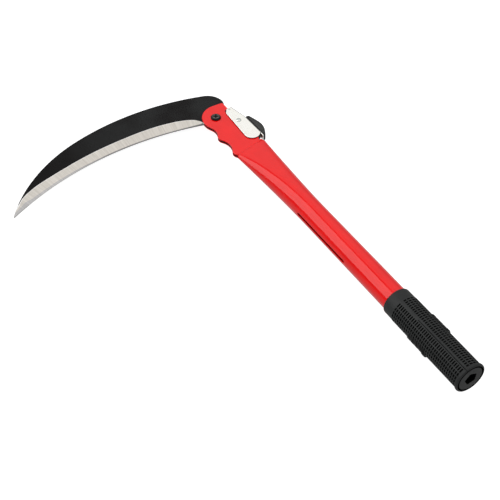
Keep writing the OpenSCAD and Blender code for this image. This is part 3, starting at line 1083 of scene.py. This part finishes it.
        for col in (0, na):
            side = [g[col] for g in grid]
            b.face(side + [low[1][col], low[0][col]], 0, False)
        b.strip(low[0], low[1], 0, False, False)
        b.obj(name, [RPAD], "handle", (), "grip_rubber", sharp=40)
    return o


grip()


# -------------------------------------------------------------------- pivot
def at(x0, y0, flip=1):
    return lambda r, t, h: (x0 + r * math.cos(t), y0 + r * math.sin(t), flip * h)


def pivot():
    R = 5.3
    b = Build()
    h = HEAD
    lathe(b, [(0, -h - 0.6), (1.7, -h - 0.6), (1.95, -h - 0.35), (1.95, h + 0.02), (R - 0.25, h + 0.02), (R, h + 0.15), (R, h + 0.62),
              (R - 0.10, h + 1.0), (R - 0.34, h + 1.4), (R - 0.7, h + 1.74), (R - 1.15, h + 1.98), (R - 1.5, h + 2.09),
              (R - 1.6, h + 2.1), (R - 2.6, h + 2.18), (R - 3.6, h + 2.2), (0, h + 2.2)], 64, at(PX, PY))
    o = b.obj("pivot_screw_head", [OXIDE, CROWN_HIGHLIGHT])
    for f in o.data.polygons:        # the flat crown takes the lighter metal: painted highlight
        c0 = f.center / MM
        if c0.z > h + 2.085 and math.hypot(c0.x - PX, c0.y - PY) < R - 1.5:
            f.material_index = 1
    # cross recess, narrower at the bottom
    for a in (-31, 59):
        c = Build()
        ca, sa = math.cos(math.radians(a)), math.sin(math.radians(a))

        def ring(l, w, z):
            return c.verts([(PX + x * ca - y * sa, PY + x * sa + y * ca, z) for x, y in ((-l, -w), (l, -w), (l, w), (-l, w))])

        lo_, hi_ = ring(1.9, 0.5, h + 0.4), ring(3.3, 0.86, h + 2.6)
        c.strip(lo_, hi_, 0, False)
        c.face(lo_, 0, False)
        c.face(hi_[::-1], 0, False)
        boolean(o, c.obj("cut_tmp", [OXIDE, CROWN_HIGHLIGHT]), "DIFFERENCE")
    sharpen(o, 30)
    place(o, "handle", ["pivot_screw"])
    b = Build()
    lathe(b, [(2.0, h - 0.2), (2.2, h - 0.05), (2.85, h - 0.05), (3.0, h - 0.2), (3.0, -h), (R - 0.3, -h), (R, -h - 0.3), (R, -h - 1.3),
              (R - 0.2, -h - 1.65), (R - 0.7, -h - 1.9), (1.9, -h - 1.9), (1.65, -h - 1.75), (1.6, -h - 1.2), (2.0, -h - 1.2)],
          64, at(PX, PY), closed=True)
    b.obj("pivot_barrel_nut", [OXIDE], "handle", ["pivot_barrel"], "black_steel", sharp=30)


pivot()


# -------------------------------------------------------------------- lever
def lever():
    """Bent sheet: two flanges, a back with rounded bends and a narrower tail."""
    W = LEV_OUT
    rb = 1.55                        # outside bend radius
    # outer line of the back, front to tail
    back = [(-6.75, 22.6), (14.2, 26.8), (46.0, 27.2)]
    back = back[:1] + fillet(back, {1: 30}, 6)[1:-1] + back[-1:]
    back = np.array(clean_open(back, 0.15))
    # station where the flanges end and the tail goes on alone
    k_end = len(back) - 1
    tang_ = np.gradient(back, axis=0)
    tang_ /= np.linalg.norm(tang_, axis=1)[:, None]
    nrm = np.stack([-tang_[:, 1], tang_[:, 0]], 1)      # outward, +Y
    bend = [(math.sin(a), 1 - math.cos(a)) for a in np.linspace(0, math.pi / 2, 6)]
    b = Build()
    rows = []
    for k, (p, m) in enumerate(zip(back, nrm)):
        row = []
        # from the +Z flange's top line over the back to the -Z flange's top line
        for s, q in reversed(bend):
            z = W - rb + rb * s
            d = rb * q
            row.append((p[0] - m[0] * d, p[1] - m[1] * d, z))
        for z in (0.9, -0.9):
            row.append((p[0], p[1], z))
        for s, q in bend:
            z = -(W - rb + rb * s)
            d = rb * q
            row.append((p[0] - m[0] * d, p[1] - m[1] * d, z))
        rows.append(row)
    ids = []
    for r in rows:
        ids.append(b.verts(r))
    for k in range(len(ids) - 1):
        a, c = ids[k], ids[k + 1]
        b.strip(a, c, 0, True, False)
    # flanges: planar polygons that share the bend's lowest row
    top = [(rows[k][0][0], rows[k][0][1]) for k in range(k_end + 1)]
    tail_c, tail_r = np.array([41.5, 18.6]), 8.25
    rim = arc(tail_c, tail_r, 46, -92.8, 30)
    rim += [(20, 11.39), (0.6, 12.33)] + arc((0.5, 13.9), 1.6, 262, 232, 3) + [(-4.6, 15.4)]
    rim += arc((-4.3, 17.0), 1.2, 222, 190, 3)
    rim = [p for p in rim if math.dist(p, top[-1]) > 0.3 and math.dist(p, top[0]) > 0.3]
    for side, sel in ((1, 0), (-1, -1)):
        loop_ids = [ids[k][sel] for k in range(k_end + 1)]
        extra = b.verts([(x, y, side * W) for x, y in rim])
        loop2 = np.array(top + rim)
        _, tris = cap([loop2])
        all_ids = loop_ids + extra
        for t in tris:
            b.face([all_ids[i] for i in t], 0, True)
    b.v = [(x + PX, y + PY, z) for x, y, z in b.v]
    o = b.obj("lock_lever", [PLATED], recalc=False)
    bm = bmesh.new()
    bm.from_mesh(o.data)
    bmesh.ops.recalc_face_normals(bm, faces=bm.faces)
    # outward means away from the middle of the channel
    up = sum((f.normal * f.calc_area() for f in bm.faces), Vector())
    if up.y < 0:
        bmesh.ops.reverse_faces(bm, faces=bm.faces)
    # join flange triangles so that the solidify and bevel see flat panels
    bmesh.ops.dissolve_limit(bm, angle_limit=math.radians(0.5), verts=[], edges=[e for e in bm.edges if len(e.link_faces) == 2 and e.calc_face_angle(9) < 0.002 and abs(e.link_faces[0].normal.z) > 0.999])
    bm.to_mesh(o.data)
    bm.free()
    o.data.materials.append(SHEARED_AND_SHADE)
    m = o.modifiers.new("sheet", "SOLIDIFY")
    m.thickness, m.offset, m.use_even_offset = 1.2 * MM, -1.0, True
    m.material_offset_rim = 1
    m.use_quality_normals = True
    v = o.modifiers.new("edge", "BEVEL")
    v.width, v.segments, v.limit_method, v.angle_limit = 0.28 * MM, 3, "ANGLE", math.radians(50)
    apply_mods(o)
    # narrower tail of the back, behind the flanges
    lip = [(42.5, 27.16), (49.4, 27.2), (51.1, 26.8), (50.8, 25.62), (49.2, 26.0), (42.5, 25.99)]
    lip = clean(fillet(lip, {1: 4, 2: 0.25, 3: 0.25, 4: 4}, 4), 0.05)
    lip = lip if area2(lip) > 0 else lip[::-1]
    c = Build()
    plate(c, [lip], -3.05, 3.05, 0.2, 0.2, 3)
    c.v = [(x + PX, y + PY, z) for x, y, z in c.v]
    boolean(o, c.obj("lip_tmp", [PLATED, SHEARED_AND_SHADE]), "UNION")
    for p in o.data.polygons:
        p.use_smooth = len(p.vertices) < 8
    sharpen(o, 34)
    place(o, "lever", ["lever"])


def clean_open(pts, tol):
    out = [tuple(pts[0])]
    for p in pts[1:]:
        if math.dist(p, out[-1]) > tol:
            out.append(tuple(p))
    return out


lever()


def rivets():
    x, y = PX + RIVET[0], PY + RIVET[1]
    b = Build()
    dome = [(2.0, 0.0), (2.72, 0.0), (2.74, 0.12), (2.62, 0.42), (2.3, 0.76), (1.8, 1.02), (1.2, 1.17), (0.6, 1.24), (0, 1.25)]
    prof = [(r, LEV_OUT + 0.02 + h) for r, h in reversed(dome)] + [(r, -(LEV_OUT + 0.02 + h)) for r, h in dome]
    lathe(b, prof, 48, at(x, y))
    b.obj("lever_rivet_pin", [RIVETED], "handle", ["lever_rivet"], "plated_steel", sharp=40)
    x, y = PX + PIN[0], PY + PIN[1]
    b = Build()
    e = LEV_OUT + 0.15
    prof = [(0, e), (1.1, e), (1.38, e - 0.1), (1.5, e - 0.3), (1.5, -e + 0.3), (1.38, -e + 0.1), (1.1, -e), (0, -e)]
    lathe(b, prof, 40, at(x, y))
    b.obj("lock_pin_steel", [RIVETED], "lever", ["lock_pin"], "plated_steel", sharp=40)


rivets()


def spring():
    strip = [(24, 21.45), (40.6, 21.45), (42.2, 22.0), (42.6, 22.9), (41.6, 23.5), (29, 24.85), (27, 24.6), (27.1, 24.15), (29, 24.35),
             (41.2, 23.05), (42.0, 22.7), (41.8, 22.3), (40.5, 21.95), (24, 21.95)]
    loop = clean(fillet(strip, {2: 0.8, 3: 0.6, 4: 1.0, 5: 0.8, 8: 0.6, 9: 0.6, 10: 0.3, 11: 0.3, 12: 0.5}, 4), 0.05)
    loop = loop if area2(loop) > 0 else loop[::-1]
    b = Build()
    plate(b, [loop], -2.2, 2.2, 0.08, 0.08, 2)
    tab = np.array([(24, 19), (24.5, 19), (24.5, 21.6), (24, 21.6)], float)
    plate(b, [tab], -0.9, 0.9, 0.06, 0.06, 1)
    b.v = [(x + PX, y + PY, z) for x, y, z in b.v]
    b.obj("lever_spring_strip", [SPRING], "handle", ["lever_spring"], "spring_steel", sharp=35)


spring()


def pad():
    W = 3.6
    top = 34.7
    prof = [(15.7, 27.0), (15.9, top - 4.9), (17.2, top - 4.0), (24.9, top - 1.8), (30, top - 0.5), (33.9, top), (38.5, top - 0.4),
            (42.6, top - 1.6), (48.3, top - 4.3), (50.6, top - 5.6), (52.0, top - 7.1), (52.2, 26.92), (51.15, 26.84),
            (49.4, 27.24), (44, 27.22), (30, 27.05)]
    loop = clean(fillet(prof, {0: 0.25, 1: 0.9, 2: 2.0, 3: 6, 4: 6, 5: 8, 6: 8, 7: 8, 8: 4, 9: 1.6, 10: 0.45, 11: 0.25, 12: 3}, 5), 0.08)
    loop = loop if area2(loop) > 0 else loop[::-1]
    b = Build()
    plate(b, [loop], -W, W, 0.5, 0.5, 4)
    # the sides come in a little towards the tail
    b.v = [(x + PX, y + PY, z * (1 - 0.2 * max(0.0, (x - 46.5) / 5.7) ** 1.2)) for x, y, z in b.v]
    o = b.obj("thumb_pad_body", [PAD, PANEL])
    # sunk side panels with long ribs left standing in them
    inner = [(x, 28.0) for x in np.linspace(18.6, 46.6, 15)]
    up = [(47.6, 28.6), (46.4, 30.3), (41, 32.6), (36.5, 33.4), (32, 33.3), (27, 32.4), (22, 30.9), (18.6, 29.8)]
    panel = clean(inner + up, 0.1)
    panel = panel if area2(panel) > 0 else panel[::-1]
    for side in (1, -1):
        z0, z1 = (W - 0.32, W + 1) if side > 0 else (-W - 1, -W + 0.32)
        k = prism([(x + PX, y + PY) for x, y in panel], z0, z1, PAD)
        k.data.materials.append(PANEL)
        for f in k.data.polygons:
            f.material_index = 1
        boolean(o, k, "DIFFERENCE")
    # grip ridges across the top
    for i in range(11):
        x = 19.0 + 2.9 * i
        yy = float(np.interp(x, [17.2, 24.9, 30, 33.9, 38.5, 42.6, 48.5, 53.3], [top - 4.0, top - 1.8, top - 0.5, top, top - 0.4, top - 1.6, top - 4.3, top - 7.2]))
        s = float(np.interp(x, [17, 33, 40, 50], [16, 3, -16, -30]))
        ca, sa = math.cos(math.radians(s)), math.sin(math.radians(s))
        q = [(-0.5, 1.2), (-0.38, -0.32), (0.38, -0.32), (0.5, 1.2)]
        boolean(o, prism([(PX + x + u * ca - w * sa, PY + yy + u * sa + w * ca) for u, w in q], -5, 5, PAD), "DIFFERENCE")
    sharpen(o, 32)
    place(o, "lever", ["thumb_pad"])
    # the ribs in both side panels
    b = Build()
    for side in (1, -1):
        for i in range(4):
            y0 = 28.95 + 1.18 * i
            x0, x1 = 19.3 + 2.34 * i, 46.9 - 1.9 * i
            rib = clean(fillet([(x0, y0 - 0.28), (x1, y0 - 0.28), (x1, y0 + 0.28), (x0, y0 + 0.28)], {0: 0.27, 1: 0.27, 2: 0.27, 3: 0.27}, 3), 0.02)
            z0, z1 = (W - 0.5, W - 0.06) if side > 0 else (-W + 0.06, -W + 0.5)
            plate(b, [rib], z0, z1, 0.12, 0.12, 2)
    b.v = [(x + PX, y + PY, z) for x, y, z in b.v]
    b.obj("thumb_pad_ribs", [PANEL], "lever", (), "pad_plastic", sharp=40)


pad()


# ------------------------------------------------------- floor, light, camera
def floor():
    me = bpy.data.meshes.new("floor")
    s = 6000.0
    pts = []
    for x, y in ((-s, -s), (s, -s), (s, s), (-s, s)):
        pts.append((x * MM, y * MM, (-15.45 - 0.0119 * x - 0.0402 * y) * MM))
    me.from_pydata(pts, [], [(0, 1, 2, 3)])
    o = bpy.data.objects.new("floor", me)
    bpy.context.scene.collection.objects.link(o)
    m = Mat("floor_white", Roughness=0.9, IOR=1.2)
    m.set("Base Color", (0.35, 0.35, 0.35))
    m.set("Emission Color", (1.0, 1.0, 1.0))
    m.set("Emission Strength", 0.93)
    m.color(m.ramp(m.noise(m.coords(), 0.004, 2), [(0.0, (0.33, 0.33, 0.33)), (1.0, (0.37, 0.37, 0.37))]))
    me.materials.append(m.m)
    # the studio below the horizon lights the tool instead of the white sweep
    o.visible_diffuse = o.visible_glossy = o.visible_transmission = o.visible_shadow = False


floor()


SOFTBOX = 2.3
SKY = [(-1.0, 0.55), (-0.10, 0.52), (0.0, 0.32), (0.15, 0.30), (0.38, 0.65), (0.6, 0.95), (1.0, 1.08)]
BOX_ACROSS = [(-180, 0.0), (9.2, 0.0), (10.6, 2.5), (75.5, 2.5), (77.5, 0.0), (180, 0.0)]
BOX_ALONG = [(-1.0, 0.0), (-0.86, 0.0), (-0.80, 2.5), (-0.28, 2.5), (-0.18, 0.0), (1.0, 0.0)]
BOX_EDGE = [(-180, 2.5), (-5.0, 2.5), (1.5, 1.2), (4.0, 0.6), (10.0, 0.6), (76.0, 1.3), (96.0, 1.5), (108.0, 2.5), (180, 2.5)]


def world():
    """A dim room under a wide overhead light, with one long softbox beside the handle."""
    w = bpy.data.worlds.new("studio")
    bpy.context.scene.world = w
    w.use_nodes = True
    t = w.node_tree
    t.nodes.clear()

    def node(kind, **kw):
        n = t.nodes.new("ShaderNode" + kind)
        for k, v in kw.items():
            setattr(n, k, v)
        return n

    def ramp(src, lo, hi, stops):
        mr = node("MapRange")
        mr.inputs["From Min"].default_value = lo
        mr.inputs["From Max"].default_value = hi
        t.links.new(src, mr.inputs["Value"])
        cr = node("ValToRGB")
        e = cr.color_ramp.elements
        while len(e) < len(stops):
            e.new(0.5)
        for el, (p, v) in zip(e, stops):
            el.position = (p - lo) / (hi - lo)
            el.color = (v / 2.5, v / 2.5, v / 2.5, 1)
        t.links.new(mr.outputs["Result"], cr.inputs["Fac"])
        return cr.outputs["Color"]

    out = node("OutputWorld")
    bg = node("Background")
    co = node("TexCoord")
    sep = node("SeparateXYZ")
    t.links.new(co.outputs["Generated"], sep.inputs[0])
    sky = ramp(sep.outputs[2], -1.0, 1.0, SKY)
    neg = node("Math", operation="MULTIPLY")
    neg.inputs[1].default_value = -1.0
    t.links.new(sep.outputs[1], neg.inputs[0])
    tilt = node("Math", operation="ARCTAN2")
    t.links.new(neg.outputs[0], tilt.inputs[0])
    t.links.new(sep.outputs[2], tilt.inputs[1])
    deg = node("Math", operation="MULTIPLY")
    deg.inputs[1].default_value = 180 / math.pi
    t.links.new(tilt.outputs[0], deg.inputs[0])
    across = ramp(deg.outputs[0], -180.0, 180.0, BOX_ACROSS)     # the softbox, 2.5 is fully on
    along = ramp(sep.outputs[0], -1.0, 1.0, BOX_ALONG)
    edge = ramp(deg.outputs[0], -180.0, 180.0, BOX_EDGE)         # its dark surround
    on = node("Mix", data_type="RGBA", blend_type="MULTIPLY")
    on.inputs["Factor"].default_value = 1.0
    t.links.new(across, on.inputs[6])
    t.links.new(along, on.inputs[7])
    dark = node("Mix", data_type="RGBA", blend_type="MULTIPLY")
    t.links.new(along, dark.inputs["Factor"])
    t.links.new(sky, dark.inputs[6])
    t.links.new(edge, dark.inputs[7])
    mix = node("Mix", data_type="RGBA")
    t.links.new(on.outputs[2], mix.inputs["Factor"])
    t.links.new(dark.outputs[2], mix.inputs[6])
    mix.inputs[7].default_value = (SOFTBOX / 2.5,) * 3 + (1.0,)
    t.links.new(mix.outputs[2], bg.inputs["Color"])
    bg.inputs["Strength"].default_value = 2.5
    t.links.new(bg.outputs[0], out.inputs[0])


world()

cam_data = bpy.data.cameras.new("camera")
cam_data.sensor_width = 36
cam_data.lens = 82.8
cam_data.clip_start = 0.01
cam_data.clip_end = 50
cam = bpy.data.objects.new("camera", cam_data)
bpy.context.scene.collection.objects.link(cam)
right = Vector((0.52631, 0.85029, -0.00388)).normalized()
fwd = Vector((-0.59832, 0.3671, -0.71221)).normalized()
up_ = right.cross(fwd).normalized()
cam.matrix_world = Matrix((
    (right.x, up_.x, -fwd.x, 0.4111),
    (right.y, up_.y, -fwd.y, -0.46696),
    (right.z, up_.z, -fwd.z, 0.75732),
    (0, 0, 0, 1)))
bpy.context.scene.camera = cam
bpy.context.scene.view_settings.view_transform = "Standard"
